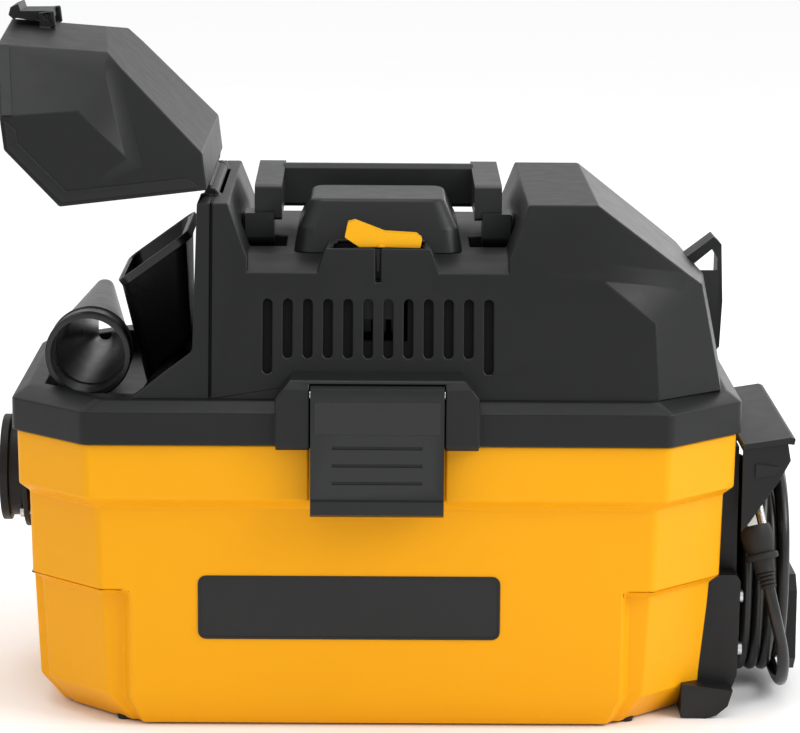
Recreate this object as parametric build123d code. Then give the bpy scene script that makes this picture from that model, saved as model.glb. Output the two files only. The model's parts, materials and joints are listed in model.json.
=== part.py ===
from build123d import *
import os
from math import cos, pi, radians, sin, tan

os.makedirs("parts", exist_ok=True)

# Shop vacuum, millimetres. X runs along the machine, -Y is its front, Z is up from the floor.
# The origin is on the floor under the middle of the tank.

# ---------- driving dimensions ----------
WALL = 3.0
CORNER = 47.0  # flat cut across each corner of the rim

TANK_TOP = 179.7
TANK_HALF_X, TANK_HALF_Y = 221.0, 142.0
BAND_LOW = 146.0
BODY_INSET = 6.5
CORNER_STEP = 6.0
STEP_Z = 84.0
TANK_FLOOR = 1.5
PAD_HALF_X, PAD_HALF_Y = 70.0, 45.0

RIM_HALF_X, RIM_HALF_Y = 224.0, 145.0
RIM_LOW, RIM_BAND, DECK = 180.0, 200.0, 206.0
DECK_THICK = 3.0
LIP_LOW = 171.0

COVER_TOP = 322.0
FRONT_LOW_Y, FRONT_HIGH_Y = -131.0, -109.0
SADDLE_LIP, SADDLE_FLOOR, SADDLE_BACK = 281.0, 290.0, 98.0
SADDLE_HALF, SADDLE_SPREAD = 79.0, 12.0
BOSS_BACK = -96.5
BAY_EDGE = -109.0
SHELL = 2.5
SCOOP_ROUND = 30.0

PORT_Z, PORT_BORE_R, PORT_SCREW_RING = 136.0, 24.2, 34.6
LATCH_PIN_Y, LATCH_PIN_Z, LATCH_PIN_R = 152.0, 213.0, 2.5
LATCH_HALF = 40.0
HANDLE_Y, HANDLE_Z = -36.0, 297.0
LID_X, LID_Z, LID_OPEN = -102.5, 322.0, 83.0
ROCKER_X, ROCKER_Z, ROCKER_TILT = 2.0, 296.0, 12.0
TOOL_X, TOOL_Z = -178.0, 224.5
FIT = 0.05  # radial clearance of a running fit
SCREW_SPOTS = [(-70, -85), (-70, 85), (70, -85), (70, 85)]

CORD_R = 3.8
COIL_Y, COIL_Z = 0.0, 76.0
COIL_X0, COIL_X1 = 230.5, 260.9
COIL_OUT, COIL_IN, COIL_HALF = 62.0, 31.6, 8.0

MOTOR_R = 50.0
FAN_R, FAN_LOW = 75.0, 166.0
CAGE_R, CAGE_LOW = 54.0, 60.0
BALL_R, BALL_Z = 24.0, 88.0
SHAFT_R = 4.0
IMPELLER_R = 62.0

# Outline points of the moulded hump, front half, at (x, y, z). The back half mirrors them in Y.
HUMP = {
    "front_low": (0.0, FRONT_LOW_Y, DECK),
    "top_front": (0.0, FRONT_HIGH_Y, COVER_TOP),
    "slope_top": (133.0, FRONT_HIGH_Y, COVER_TOP),
    "scoop_corner": (128.5, -116.4, 283.1),
    "corner_high": (167.9, -122.3, 251.9),
    "scoop_back": (197.5, -95.5, 272.2),
    "slope_low": (205.0, 0.0, 266.5),
    "corner_foot": (170.6, -130.9, 206.3),
    "side_foot": (211.5, -95.0, 204.0),
    "side_high": (207.5, 0.0, 265.0),
    "side_low": (219.5, 0.0, 205.0),
}


# ---------- helpers ----------
def save(shape, node):
    export_step(shape, f"parts/{node}.step")
    return shape


def block(x0, x1, y0, y1, z0, z1):
    return Pos((x0 + x1) / 2, (y0 + y1) / 2, (z0 + z1) / 2) * Box(abs(x1 - x0), abs(y1 - y0), abs(z1 - z0))


def post(x, y, z0, z1, r):
    return Pos(x, y, (z0 + z1) / 2) * Cylinder(r, abs(z1 - z0))


def rod_x(x0, x1, y, z, r):
    return Pos((x0 + x1) / 2, y, z) * Rot(0, 90, 0) * Cylinder(r, abs(x1 - x0))


def rod_y(x, y0, y1, z, r):
    return Pos(x, (y0 + y1) / 2, z) * Rot(90, 0, 0) * Cylinder(r, abs(y1 - y0))


def mirror_y(shape):
    return mirror(shape, about=Plane.XZ)


def mirror_x(shape):
    return mirror(shape, about=Plane.YZ)


def octagon(half_x, half_y, cut, radius, z):
    """A rectangle with its corners cut flat and its eight points rounded, at height z."""
    quarter = [(half_x, half_y - cut), (half_x - cut, half_y)]
    points = quarter + [(-x, y) for x, y in reversed(quarter)]
    points = points + [(-x, -y) for x, y in points]
    face = make_face(Polyline(*points, close=True))
    if radius > 0:
        face = fillet(face.vertices(), radius)
    return Pos(0, 0, z) * face


def drum(low, high):
    return loft([low, high], ruled=True)


def profile_y(points, y0, y1):
    """A closed outline of (x, z) points, extruded along Y from y0 to y1."""
    face = make_face(Polyline(*[(x, y0, z) for x, z in points], close=True))
    return extrude(face, amount=abs(y1 - y0), dir=(0, 1 if y1 > y0 else -1, 0))


def profile_x(points, x0, x1):
    """A closed outline of (y, z) points, extruded along X from x0 to x1."""
    face = make_face(Polyline(*[(x0, y, z) for y, z in points], close=True))
    return extrude(face, amount=abs(x1 - x0), dir=(1 if x1 > x0 else -1, 0, 0))


def trim(solid, a, b, c, grow, inside=(0, 0, 230)):
    """Cut solid at the plane through three points, moved out by grow, and keep the inside."""
    a, b, c, inside = Vector(*a), Vector(*b), Vector(*c), Vector(*inside)
    normal = (b - a).cross(c - a).normalized()
    if normal.dot(inside - a) > 0:
        normal = normal * -1
    return split(solid, bisect_by=Plane(origin=a + normal * grow, z_dir=normal), keep=Keep.BOTTOM)


def along(point, dx=0.0, dy=0.0, dz=0.0):
    return (point[0] + dx, point[1] + dy, point[2] + dz)


def hump_body(grow=0.0, low=DECK):
    """The faceted outer form of the top, from its middle to its right end, moved out by grow."""
    h = HUMP
    body = block(-260, 260, -170, 170, low, COVER_TOP + grow)
    faces = [
        (h["front_low"], h["top_front"], along(h["front_low"], 50)),
        (h["corner_high"], h["corner_foot"], h["side_foot"]),
        (h["side_high"], h["side_low"], h["side_foot"]),
    ]
    for a, b, c in faces:
        body = trim(body, a, b, c, grow)
        body = trim(body, *[(x, -y, z) for x, y, z in (a, b, c)], grow)
    body = trim(body, h["slope_top"], h["slope_low"], along(h["slope_top"], 0, 50), grow)
    scoop = corner_scoop(grow)
    return body - scoop - mirror_y(scoop)


def corner_scoop(grow):
    """The wedge hollowed out of the front right shoulder. It grows as the form shrinks."""
    h = HUMP
    wedge = block(90, 260, -170, -40, 225, 360)
    upper = (h["slope_top"], h["scoop_corner"], h["scoop_back"])
    lower = (h["scoop_corner"], h["corner_high"], h["scoop_back"])
    for a, b, c in (upper, lower):
        wedge = trim(wedge, a, b, c, -grow, inside=(230, -160, 340))
    ridge = [edge for edge in wedge.edges() if on_line(edge, h["scoop_corner"], h["scoop_back"], grow)]
    return fillet(ridge, SCOOP_ROUND)


def on_line(edge, a, b, grow):
    """True if the edge runs the way that a to b does, and lies within reach of it."""
    way = (Vector(*b) - Vector(*a)).normalized()
    run = ((edge @ 1) - (edge @ 0)).normalized()
    apart = ((edge @ 0.5) - Vector(*a)).cross(way).length
    return abs(run.dot(way)) > 0.999 and apart < 2 + 3 * abs(grow)


def front_y(z):
    """Where the cover's front wall is at height z."""
    return FRONT_LOW_Y + (FRONT_HIGH_Y - FRONT_LOW_Y) * (z - DECK) / (COVER_TOP - DECK)


# ---------- tank ----------
def tank_outline(half_x, half_y, z, step):
    """The tank's section, with each corner set in by step. A step of 0 gives a plain octagon."""
    cut = CORNER - 2
    if step == 0:
        return octagon(half_x, half_y, cut, 8, z)
    mid_x, mid_y = min(150.0, half_x - cut - 8), min(76.0, half_y - cut - 8)
    quarter = [
        (half_x, mid_y),
        (half_x - step, mid_y + 4),
        (half_x - step, half_y - cut - 1),
        (half_x - cut - 1, half_y - step),
        (mid_x + 4, half_y - step),
        (mid_x, half_y),
    ]
    points = quarter + [(-x, y) for x, y in reversed(quarter)]
    points = points + [(-x, -y) for x, y in points]
    return Pos(0, 0, z) * make_face(Polyline(*points, close=True))


def tank_outer():
    in_x, in_y = TANK_HALF_X - BODY_INSET, TANK_HALF_Y - BODY_INSET
    band = drum(tank_outline(TANK_HALF_X - 0.6, TANK_HALF_Y - 0.6, BAND_LOW, 0),
                tank_outline(TANK_HALF_X, TANK_HALF_Y, TANK_TOP, 0))
    ledge = drum(tank_outline(in_x, in_y, BAND_LOW - 6, 0),
                 tank_outline(TANK_HALF_X - 0.6, TANK_HALF_Y - 0.6, BAND_LOW, 0))
    middle = drum(tank_outline(in_x - 1.2, in_y - 1.2, STEP_Z + 4, 0),
                  tank_outline(in_x, in_y, BAND_LOW - 6, 0))
    corner_top = drum(tank_outline(in_x - 1.3, in_y - 1.3, STEP_Z, CORNER_STEP),
                      tank_outline(in_x - 1.2, in_y - 1.2, STEP_Z + 4, 0.5))
    lower = drum(tank_outline(in_x - 4.6, in_y - 4.6, 20, CORNER_STEP),
                 tank_outline(in_x - 1.3, in_y - 1.3, STEP_Z, CORNER_STEP))
    foot = drum(tank_outline(in_x - 19, in_y - 13, TANK_FLOOR, CORNER_STEP),
                tank_outline(in_x - 4.6, in_y - 4.6, 20, CORNER_STEP))
    return band + ledge + middle + corner_top + lower + foot


def tank_shell():
    in_x, in_y = TANK_HALF_X - BODY_INSET, TANK_HALF_Y - BODY_INSET
    hollow_low = drum(octagon(in_x - 25, in_y - 19, CORNER, 6, TANK_FLOOR + WALL),
                      octagon(in_x - 13, in_y - 13, CORNER, 6, 22))
    hollow_mid = drum(octagon(in_x - 13, in_y - 13, CORNER, 6, 22),
                      octagon(in_x - WALL, in_y - WALL, CORNER, 6, BAND_LOW - 6))
    hollow_top = drum(octagon(in_x - WALL, in_y - WALL, CORNER, 6, BAND_LOW - 6),
                      octagon(TANK_HALF_X - WALL, TANK_HALF_Y - WALL, CORNER, 6, TANK_TOP))
    shell = tank_outer() - hollow_low - hollow_mid - hollow_top
    shell = shell + block(-PAD_HALF_X, PAD_HALF_X, -PAD_HALF_Y, PAD_HALF_Y, 0, TANK_FLOOR + 0.5)
    for side in (-1, 1):
        shell = shell - latch_recess(side) - foot_pockets(side)
        shell = shell + catch_ledge(side)
    port_hole = rod_x(-TANK_HALF_X - 5, -TANK_HALF_X + 20, 0, PORT_Z, PORT_BORE_R + 4.2)
    screws = rods_round(-TANK_HALF_X - 5, -TANK_HALF_X + 20, 1.5, PORT_SCREW_RING)
    return shell - port_hole - screws


def latch_recess(side):
    """The shallow pocket that the latch handle lies in, on the tank's front or back."""
    return block(-LATCH_HALF - 1.5, LATCH_HALF + 1.5, side * (TANK_HALF_Y - 1.6), side * 160, 131, 185)


def catch_ledge(side):
    """The rib that the latch tooth snaps past."""
    y = TANK_HALF_Y - 1.8
    rib = [(side * y, 163), (side * (y + 3), 161.5), (side * (y + 3), 158.5), (side * y, 155)]
    return profile_x(rib, -30, 30)


def foot_pockets(side):
    pockets = block(110, 160, side * 96, side * 112, TANK_FLOOR, TANK_FLOOR + 1)
    return pockets + mirror_x(pockets)


def tank_feet():
    """Four rubber pads, each half sunk in a pocket of the tank's floor."""
    feet = []
    for x in (-1, 1):
        for y in (-1, 1):
            pad = block(x * 110.3, x * 159.7, y * 96.3, y * 111.7, 0, TANK_FLOOR + 1)
            feet.append(fillet(pad.edges().filter_by(Axis.Z), 5))
    return Compound(children=feet)


def rods_round(x0, x1, r, ring):
    """Four rods along X round the inlet, at 45 degrees to the axes."""
    rods = None
    for k in range(4):
        angle = radians(45 + 90 * k)
        rod = rod_x(x0, x1, ring * cos(angle), PORT_Z + ring * sin(angle), r)
        rods = rod if rods is None else rods + rod
    return rods


def inlet_port():
    """The hose socket: a flange outside the wall, a sleeve through it and a bore with a stop."""
    flange = rod_x(-TANK_HALF_X - 3.6, -TANK_HALF_X - 0.1, 0, PORT_Z, 38)
    collar = rod_x(-TANK_HALF_X - 16, -TANK_HALF_X - 3.6, 0, PORT_Z, 31)
    rim = rod_x(-TANK_HALF_X - 18.5, -TANK_HALF_X - 13, 0, PORT_Z, 34)
    sleeve = rod_x(-TANK_HALF_X - 5, -TANK_HALF_X + 22, 0, PORT_Z, PORT_BORE_R + 4)
    port = fillet((flange + collar + rim).edges().filter_by(GeomType.CIRCLE), 0.8) + sleeve
    port = port - rod_x(-260, -TANK_HALF_X + 18, 0, PORT_Z, PORT_BORE_R)
    port = port - rod_x(-260, -TANK_HALF_X + 30, 0, PORT_Z, PORT_BORE_R - 2.5)
    return port - rods_round(-TANK_HALF_X - 8, -TANK_HALF_X + 2, 2.1, PORT_SCREW_RING)


def inlet_deflector():
    """The hood inside the tank that turns the incoming air down."""
    x0 = -TANK_HALF_X + 23
    hood = rod_x(x0, x0 + 34, 0, PORT_Z, 33) - rod_x(x0, x0 + 31, 0, PORT_Z, 30.5)
    hood = hood - block(x0 + 3, x0 + 40, -40, 40, PORT_Z - 40, PORT_Z - 2)
    return hood


def port_screws():
    screws = []
    for k in range(4):
        angle = radians(45 + 90 * k)
        y, z = PORT_SCREW_RING * cos(angle), PORT_Z + PORT_SCREW_RING * sin(angle)
        shank = rod_x(-TANK_HALF_X - 4, -TANK_HALF_X + 8, y, z, 1.5)
        screws.append(shank + rod_x(-TANK_HALF_X - 6, -TANK_HALF_X - 3.7, y, z, 3.2))
    return Compound(children=screws)


# ---------- cord bracket and cord ----------
def oval(y, z, half, r, x0, x1):
    """A solid oval in the YZ plane, from x0 to x1: straight for 2 half, with round ends of radius r."""
    ends = rod_x(x0, x1, y, z + half, r) + rod_x(x0, x1, y, z - half, r)
    return ends + block(x0, x1, y - r, y + r, z - half, z + half)


def cord_bracket():
    """The pod on the tank's right wall, with an upper saddle and a lower horn for the cord."""
    pod = [(202, 0.8), (205, 0), (212, 2), (221, 10), (226, 24), (227, 84), (224, 88), (200, 88)]
    skirt = [(190, 0.6), (205, 0), (212, 2), (219, 8), (222, 18), (190, 22)]
    body = profile_y(pod, -88, 88) + profile_y(skirt, -104, 104)
    back = block(205, 226, -70, 70, 86, 166)
    body = body + back - tank_outer()
    core = oval(COIL_Y, COIL_Z, COIL_HALF, COIL_IN - 0.6, 226, 262.5)
    core = core - oval(COIL_Y, COIL_Z, COIL_HALF, COIL_IN - 4.6, 229, 270)
    plate = block(262, 269, -36, 36, 12, 74)
    plate = chamfer(plate.edges().filter_by(Axis.X), 9)
    return body + core + plate


def cord_guard():
    """The wedge-shaped hood over the upper saddle, which keeps the turns of cord on it."""
    half, wall = 90, 2.5
    side = [(226.2, 116), (226.2, 169), (253.7, 173.4), (255.9, 161.2)]
    side = side + [(248.8, 147.9), (243.5, 140.2), (231.5, 122.4)]
    inner = [(222, 80), (222, 166), (251.6, 170.6), (253, 161.4), (247, 150), (270, 150), (270, 80)]
    hood = profile_y(side, -half, half) - profile_y(inner, wall - half, half - wall)
    edge = [(226.2, 168.5), (226.2, 171.5), (255.4, 176.2), (258.4, 175.2), (257.6, 171.5), (253.7, 171.9)]
    tab = profile_y([(234.2, 151), (234, 159.3), (248.2, 157.5), (248, 155), (246, 152)], -half - 1.4, -half)
    return hood + profile_y(edge, -half - 1.5, half + 1.5) + tab + mirror_y(tab)


def bracket_screws():
    screws = []
    for y in (-76, 76):
        for z in (38, 72):
            screws.append(rod_x(227.1, 229.6, y, z, 4))
    return Compound(children=screws)


# The cord's route where it isn't wound: from the strain relief to the turns, and from them to the plug.
LEAD = [
    (209, 130, 160),
    (209, 130, 133),
    (217, 111, 104),
    (232, 84, 86),
    (234.5, 66, 60),
    (234.5, 50, 37),
]
TAIL = [
    (257, -5, 9.8),
    (257.5, -32, 8.3),
    (257.5, -61, 12),
    (256, -83, 34),
    (249, -88, 62),
    (243, -80.5, 88),
]
PLUG_AIM = Vector(*TAIL[-1]) - Vector(*TAIL[-2])


def arc_radii(points):
    """The radius for each inner point: 0.45 of the shorter run over the tangent of half the turn."""
    radii = []
    for before, here, after in zip(points, points[1:], points[2:]):
        into, out = Vector(*here) - Vector(*before), Vector(*after) - Vector(*here)
        turn = radians(into.get_angle(out))
        radii.append(0.45 * min(into.length, out.length) / tan(turn / 2))
    return radii


def tube(points, r, name):
    radii = arc_radii(points)
    path = FilletPolyline(*points, radius=radii)
    start = Plane(origin=path @ 0, z_dir=path % 0)
    solid = sweep(start * Circle(r), path=path)
    share = solid.volume / (pi * r * r * path.length)
    print(name, "radii", [round(x) for x in radii], "length", round(path.length), "share", round(share, 3))
    return solid


def cord_coil():
    """The outer shape of the wound turns: an oval ring round the saddle and the horn."""
    ring = oval(COIL_Y, COIL_Z, COIL_HALF, COIL_OUT, COIL_X0, COIL_X1)
    return ring - oval(COIL_Y, COIL_Z, COIL_HALF, COIL_IN, COIL_X0 - 5, COIL_X1 + 5)


def plug_at(distance):
    """A plane across the plug's axis, at a distance from the end of the cord."""
    return Plane(origin=Vector(*TAIL[-1]) + PLUG_AIM.normalized() * distance, z_dir=PLUG_AIM, x_dir=(0, 1, 0))


def plug_body():
    """The moulded plug: a ring, a ribbed neck and a flat-sided grip."""
    sections = [(0, 6.5, 6.5), (9, 7.5, 7.5), (15, 10, 9), (30, 12, 9)]
    faces = [plug_at(at) * Ellipse(wide, high) for at, wide, high in sections]
    body = loft(faces, ruled=False)
    ring = extrude(plug_at(8) * Circle(10.5), amount=4)
    return body + fillet(ring.edges(), 1.2)


def plug_blades():
    """Two flat blades and a round earth pin, as three solids."""
    base = plug_at(30)
    blades = [extrude(base * Pos(x, 1.5) * Rectangle(1.5, 6.3), amount=15) for x in (-6.3, 6.3)]
    return Compound(children=blades + [extrude(base * Pos(0, -5.5) * Circle(2.3), amount=15)])


# ---------- head ----------
def head_base():
    """The rim that closes the tank, its deck, the accessory bin and the two latch mounts."""
    band = drum(octagon(RIM_HALF_X, RIM_HALF_Y, CORNER, 9, RIM_LOW),
                octagon(RIM_HALF_X, RIM_HALF_Y, CORNER, 9, RIM_BAND))
    bevel = drum(octagon(RIM_HALF_X, RIM_HALF_Y, CORNER, 9, RIM_BAND),
                 octagon(RIM_HALF_X - 9, RIM_HALF_Y - 9, CORNER, 9, DECK))
    base = band + bevel
    in_x, in_y = TANK_HALF_X - WALL, TANK_HALF_Y - WALL
    seat = drum(octagon(TANK_HALF_X + 0.4, TANK_HALF_Y + 0.4, CORNER - 2, 8, RIM_LOW),
                octagon(TANK_HALF_X + 0.4, TANK_HALF_Y + 0.4, CORNER - 2, 8, RIM_LOW + 1.6))
    base = base - seat
    base = base + drum(octagon(in_x - 3, in_y - 3, CORNER, 6, LIP_LOW),
                       octagon(in_x - 3, in_y - 3, CORNER, 6, RIM_LOW + 1.6))
    base = base - drum(octagon(in_x - 6, in_y - 6, CORNER, 6, LIP_LOW),
                       octagon(in_x - 6, in_y - 6, CORNER, 6, DECK - DECK_THICK))
    for x, y in SCREW_SPOTS:
        base = base - post(x, y, 195, 210, 2.1)
        base = base + post(x, y, 200, 203.5, 7) - post(x, y, 199, 210, 2.1)
    base = base + bin_form(0, 188) - bin_form(-SHELL, 190.5, DECK)
    base = base - post(0, 0, 180, 210, 52)
    for side in (-1, 1):
        base = base + latch_mount(side)
    return base + gland_boss()


def bin_form(grow, low, high=DECK):
    """The accessory bin under the lid: a box with its two outer corners cut to follow the rim."""
    x0, x1, y, cut = -207 - grow, -112 + grow, 117 + grow, 32
    points = [(x1, -y), (x0 + cut, -y), (x0, cut - y), (x0, y - cut), (x0 + cut, y), (x1, y)]
    face = make_face(Polyline(*[(px, py, low) for px, py in points], close=True))
    return extrude(face, amount=high - low, dir=(0, 0, 1))


def latch_mount(side):
    """The yoke on the front or the back of the rim that holds a latch pin."""
    wide = LATCH_HALF + 21
    y_in, y_out = RIM_HALF_Y - 13.5, RIM_HALF_Y + 10
    rise = [(y_in, 206), (y_in, 223), (y_out - 4, 221.5), (y_out, 216), (y_out, 182), (y_out - 3, 179)]
    rise = rise + [(RIM_HALF_Y - 0.5, 179), (RIM_HALF_Y - 0.5, 203)]
    yoke = profile_x([(side * y, z) for y, z in rise], -wide, wide)
    corners = [(-wide, 170), (-wide, 211), (-wide + 12, 226), (wide - 12, 226), (wide, 211), (wide, 170)]
    yoke = yoke & profile_y(corners, -170, 170)
    yoke = yoke - block(-LATCH_HALF - 0.6, LATCH_HALF + 0.6, side * (RIM_HALF_Y + 0.2), side * 170, 170, 219.4)
    return yoke - rod_x(-LATCH_HALF - 12, LATCH_HALF + 12, side * LATCH_PIN_Y, LATCH_PIN_Z, LATCH_PIN_R)


def gland_boss():
    """The lug at the rear right corner that the cord leaves from, pointing down."""
    lug = post(209, 130, 184, 202, 10) + Pos(200, 121, 193) * Rot(0, 0, 45) * Box(30, 20, 18)
    lug = lug - drum(octagon(TANK_HALF_X + 1, TANK_HALF_Y + 1, CORNER, 8, 150),
                     octagon(TANK_HALF_X + 1, TANK_HALF_Y + 1, CORNER, 8, 210))
    return lug - post(209, 130, 180, 196, 5.5)


def strain_relief():
    """A tapered, ribbed sleeve in the lug, round the cord where it comes out."""
    sleeve = Pos(209, 130, 172) * Cone(5.0, 6.6, 24)
    sleeve = sleeve + post(209, 130, 184, 196, 5.5)
    for k in range(4):
        sleeve = sleeve - (post(209, 130, 164 + 5 * k, 166.2 + 5 * k, 9) - post(209, 130, 160, 190, 4.6))
    return sleeve


def rim_gasket():
    out = octagon(TANK_HALF_X - 0.3, TANK_HALF_Y - 0.3, CORNER - 2, 8, RIM_LOW)
    hole = octagon(TANK_HALF_X - WALL - 0.9, TANK_HALF_Y - WALL - 0.9, CORNER, 6, RIM_LOW)
    return extrude(out, amount=1.6) - extrude(hole, amount=1.6)


def left_mask(grow=0.0):
    """Keeps what lies right of the bay's edge, which runs straight down and then out along the deck."""
    points = [(BAY_EDGE + grow, 350), (BAY_EDGE - 3 + grow, 234), (-150 + grow, DECK - 1), (-150 + grow, 180)]
    return profile_y(points + [(260, 180), (260, 350)], -170, 170)


def saddle_cut(grow=0.0):
    """The channel across the top that the handle lies in, and the pockets for the handle's hubs."""
    half, spread, far = SADDLE_HALF + grow, SADDLE_SPREAD, 150.0
    floor = SADDLE_FLOOR - grow
    rise = [(-half, 255), (half, 255), (half, floor), (half + spread, COVER_TOP), (half + spread, 360)]
    rise = rise + [(-half - spread, 360), (-half - spread, COVER_TOP), (-half, floor)]
    lip_y, lip = front_y(SADDLE_LIP), SADDLE_LIP - grow
    drop = [(-far, 267 - grow), (lip_y, lip), (-SADDLE_BACK, floor), (SADDLE_BACK, floor)]
    drop = drop + [(-lip_y, lip), (far, 267 - grow), (far, 360), (-far, 360)]
    channel = profile_x(drop, -120, 120) & profile_y(rise, -far, far)
    for side in (-1, 1):
        x0, x1 = side * (57 - grow), side * (85 + grow)
        channel = channel + block(x0, x1, -66 - grow, -19 + grow, 281 - grow, 312)
    return channel


def slot_xs():
    return [(-66.6 + 12.15 * k, k in (0, 11)) for k in range(12)]


def vent_slots():
    """Twelve upright slots with round ends through the front and back walls; the end ones are longer."""
    slots = None
    for x, long_one in slot_xs():
        low = 223.8 if long_one else 233.2
        bar = block(x - 2.7, x + 2.7, -150, 150, low, 262.6)
        bar = bar + rod_y(x, -150, 150, low, 2.7) + rod_y(x, -150, 150, 262.6, 2.7)
        slots = bar if slots is None else slots + bar
    return slots - block(-90, 90, -108, 108, 200, 300)


def motor_cover():
    """The moulded top: one faceted shell with the saddle, the vents, the switch boss and lid knuckles."""
    outer = hump_body() & left_mask()
    inner = (hump_body(-SHELL, DECK - 5) & left_mask(SHELL)) - saddle_cut(SHELL)
    cover = outer - saddle_cut()
    cover = cover + switch_boss()
    cover = cover - inner - vent_slots()
    cover = cover - block(-155, BAY_EDGE - 1, -122, 122, 200, 233)
    cover = cover - rocker_well()
    for x, y in SCREW_SPOTS:
        cover = cover + post(x, y, DECK, SADDLE_FLOOR - 1, 5.5) - post(x, y, DECK - 1, 218, 2)
    groove = rod_y(LID_X, -61, 61, LID_Z, 5.4) + block(-125, LID_X, -61, 61, LID_Z - 5, LID_Z + 9)
    backing = block(BAY_EDGE, -88, -75, 75, 311, 321)
    cover = cover + ((backing & hump_body()) - saddle_cut()) - groove
    cover = cover - (block(-101.4, -100.8, -170, 170, 207, 330) - hump_body(-0.5))
    for side in (-1, 1):
        knuckle = rod_y(LID_X, side * 61.4, side * 72, LID_Z, 4.6)
        cover = cover + knuckle - rod_y(LID_X, side * 55, side * 68, LID_Z, 2.0)
        bearing = rod_x(side * 83.2, side * 93, HANDLE_Y, HANDLE_Z, 9)
        cover = cover + bearing - rod_x(side * 82, side * 90, HANDLE_Y, HANDLE_Z, 5 + FIT)
    return cover


def switch_boss():
    """The raised seat of the rocker, its front flush with the cover's front wall."""
    rise = [(-38, SADDLE_LIP - 3), (-33, 293), (-29, 300), (29, 300), (33, 293), (38, SADDLE_LIP - 3)]
    top = [(-125, SADDLE_LIP - 3), (-125, 293.5), (-114, 295.7)]
    top = top + [(BOSS_BACK, 299.2), (BOSS_BACK, SADDLE_LIP - 3)]
    boss = profile_y(rise, -130, BOSS_BACK) & profile_x(top, -60, 60)
    boss = trim(boss, HUMP["front_low"], HUMP["top_front"], along(HUMP["front_low"], 50), 0)
    return boss - profile_y([(x * 0.9, z - SHELL) for x, z in rise], -112.4, BOSS_BACK - 2)


def rocker_well():
    """The opening that the rocker sits in, its trunnion holes, and the cleft in the boss's front."""
    well = block(ROCKER_X - 26, ROCKER_X + 26, -110.6, -99.4, 270, 310)
    holes = rod_y(ROCKER_X, -112.2, -97.1, ROCKER_Z, 2 + FIT)
    return well + holes + block(-1.5, 1.5, -125, -112.6, 275.5, 303)


def switch_rocker():
    """A two-winged rocker on trunnions, pressed down at its right-hand end at rest."""
    z = ROCKER_Z
    wings = [(-23, 1), (-23, 10), (-19, 12), (0, 9), (19, 12), (23, 10), (23, 1), (5, -6), (-5, -6)]
    body = profile_y([(ROCKER_X + x, z + dz) for x, dz in wings], -110.2, -99.8)
    body = fillet(body.edges().filter_by(Axis.Y), 0.9)
    body = body + rod_y(ROCKER_X, -111.9, -97.4, z, 2)
    turn = Pos(ROCKER_X, 0, z) * Rot(0, ROCKER_TILT, 0) * Pos(-ROCKER_X, 0, -z)
    return turn * body


def switch_body():
    """The electrical switch under the rocker, hung from the cover."""
    case = block(ROCKER_X - 14, ROCKER_X + 14, -112, -97, 252, 276)
    stem = block(ROCKER_X - 5, ROCKER_X + 5, -108, -102, 276, 284)
    tabs = None
    for x in (-9, 0, 9):
        tab = block(ROCKER_X + x - 3, ROCKER_X + x + 3, -104.4, -103.6, 243, 252)
        tabs = tab if tabs is None else tabs + tab
    return case + stem + tabs


def centre_cover():
    """The raised block in the saddle in front of the handle bar, wider at its foot."""
    sections = [(SADDLE_FLOOR, 103, 92, 12), (304, 98, 86, 11), (COVER_TOP, 81, 68, 9)]
    faces = []
    for z, wide, deep, r in sections:
        face = Pos(0, -50, z) * Rectangle(wide, deep)
        faces.append(fillet(face.vertices(), r))
    form = loft(faces[:2], ruled=True) + loft(faces[1:], ruled=True)
    return fillet(form.faces().sort_by(Axis.Z)[-1].edges(), 4)


def carry_handle():
    """A bail that lies back in the saddle and swings up on two hubs with trunnions."""
    side = [(-44, 303), (-44, 324), (-38, 325), (62, 328), (66, 322), (62, 304), (-25, 304)]
    arm = fillet(profile_x(side, 60, 77).edges().filter_by(Axis.X), 1.8)
    hub = block(64.8, 82.6, -49, -25, 287.5, 308)
    hub = fillet(hub.edges().filter_by(Axis.X).sort_by(Axis.Z)[:2], 6)
    grip = [(34, 303), (35, 326), (38, 329), (50, 328), (62, 320), (63, 305), (58, 301), (39, 301)]
    bar = fillet(profile_x(grip, -61, 61).edges().filter_by(Axis.X), 1.4)
    pin = rod_x(82, 89, HANDLE_Y, HANDLE_Z, 5)
    half = arm + hub + pin
    return half + mirror_x(half) + bar


def hose_hook():
    """The strap on the right end that a hose is pushed behind, closed by a cheek at its front."""
    y0, y1 = 28, 53
    strap = [(196, 268), (217, 284), (222, 279), (223.4, 242), (222, 212), (217, 206.6)]
    strap = strap + [(213, 206.6), (219.2, 222), (219.6, 270), (216, 276), (198, 261)]
    cheek = profile_y([(200, 206.6), (219, 206.6), (222, 214), (222, 262), (200, 262)], y0, y0 + 2)
    return profile_y(strap, y0, y1) + cheek - hump_body()


# ---------- lid ----------
def lid_turn():
    return Pos(LID_X, 0, LID_Z) * Rot(0, LID_OPEN, 0) * Pos(-LID_X, 0, -LID_Z)


def lid_region(gap):
    points = [(BAY_EDGE - gap, 350), (BAY_EDGE - 3 - gap, 234), (-150 - gap, DECK + 0.5)]
    return profile_y(points + [(-260, DECK + 0.5), (-260, 350)], -170, 170)


def accessory_lid():
    """The faceted lid over the bin, a mirror of the machine's right end, with its hinge barrel."""
    outer = mirror_x(hump_body(0, DECK + 0.5)) & lid_region(0.6)
    inner = mirror_x(hump_body(-SHELL, DECK - 2)) & lid_region(-6)
    lid = outer - inner
    leaf = block(BAY_EDGE - 3, LID_X, -60, 60, LID_Z - 3.6, LID_Z - 0.8)
    lid = lid + (leaf & block(-300, 300, -60, 60, 200, 330)) + rod_y(LID_X, -60, 60, LID_Z, 4.4)
    lid = lid - rod_y(LID_X, -62, 62, LID_Z, 2 + FIT)
    for side in (-1, 1):
        lid = lid + clasp_ear(side)
    return lid_turn() * lid


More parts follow.
